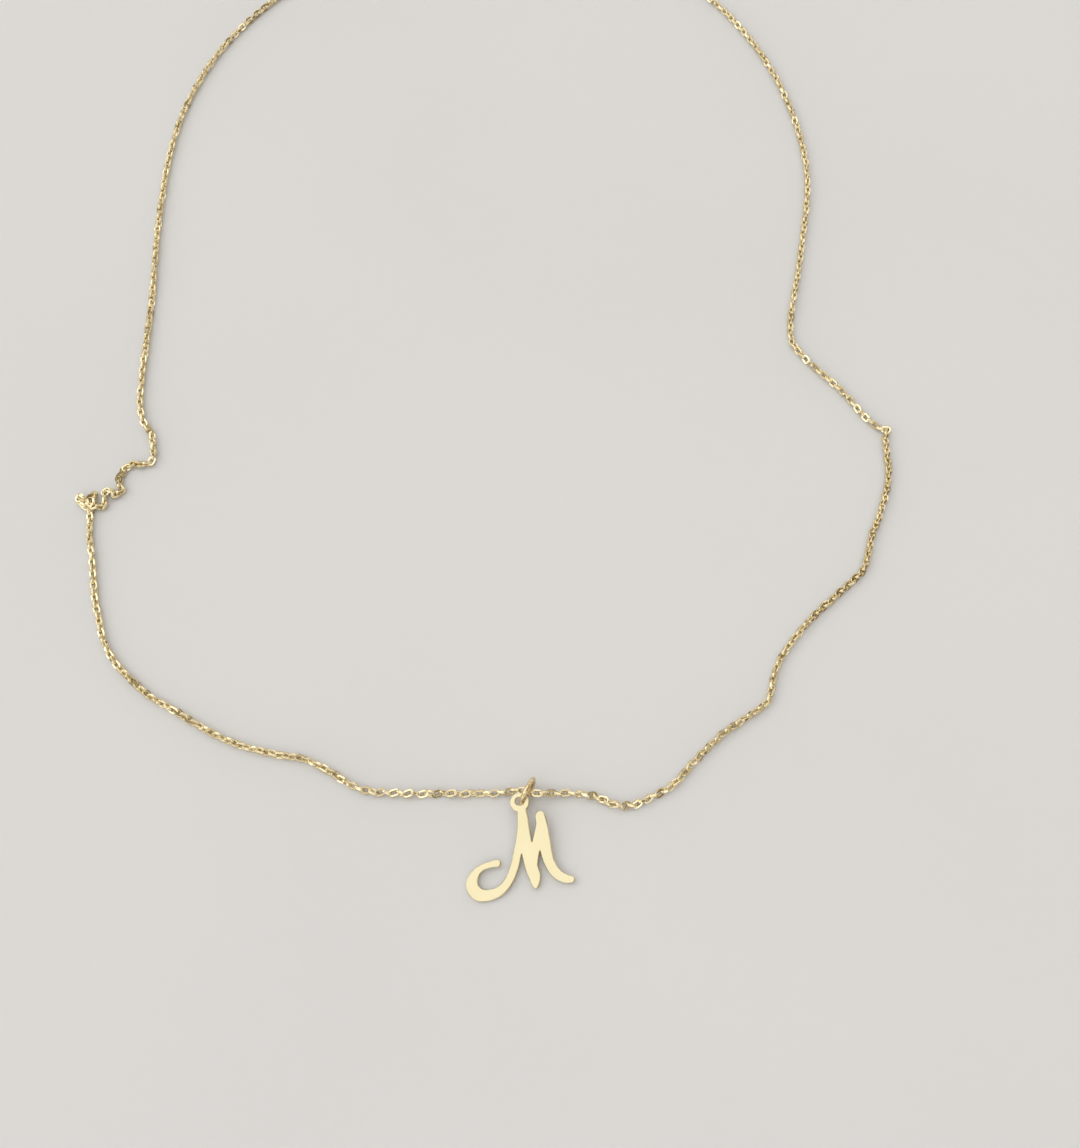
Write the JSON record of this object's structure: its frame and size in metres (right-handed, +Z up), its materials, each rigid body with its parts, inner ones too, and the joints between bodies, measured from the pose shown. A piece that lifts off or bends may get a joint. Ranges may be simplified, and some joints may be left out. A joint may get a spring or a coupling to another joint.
{
  "type": "initial pendant necklace",
  "caption": "Flat script letter M with a small hanging loop, on a plain jump ring and a fine cable chain, lying in a whole loop closed by a spring-ring clasp.",
  "frame": {"origin": "middle of the underside of the whole necklace, on the surface it lies on", "axes": "+X across the letter to its reader's right, +Y from the letter's foot towards the clasp, +Z up from the surface"},
  "size_m": [0.1066, 0.1554, 0.0036],
  "materials": {
    "polished_gold": "polished"
  },
  "bodies": {
    "root": {"letter": "polished_gold", "jump_ring": "polished_gold", "chain": "polished_gold", "end_ring": "polished_gold", "clasp": "polished_gold"}
  },
  "joints": []
}
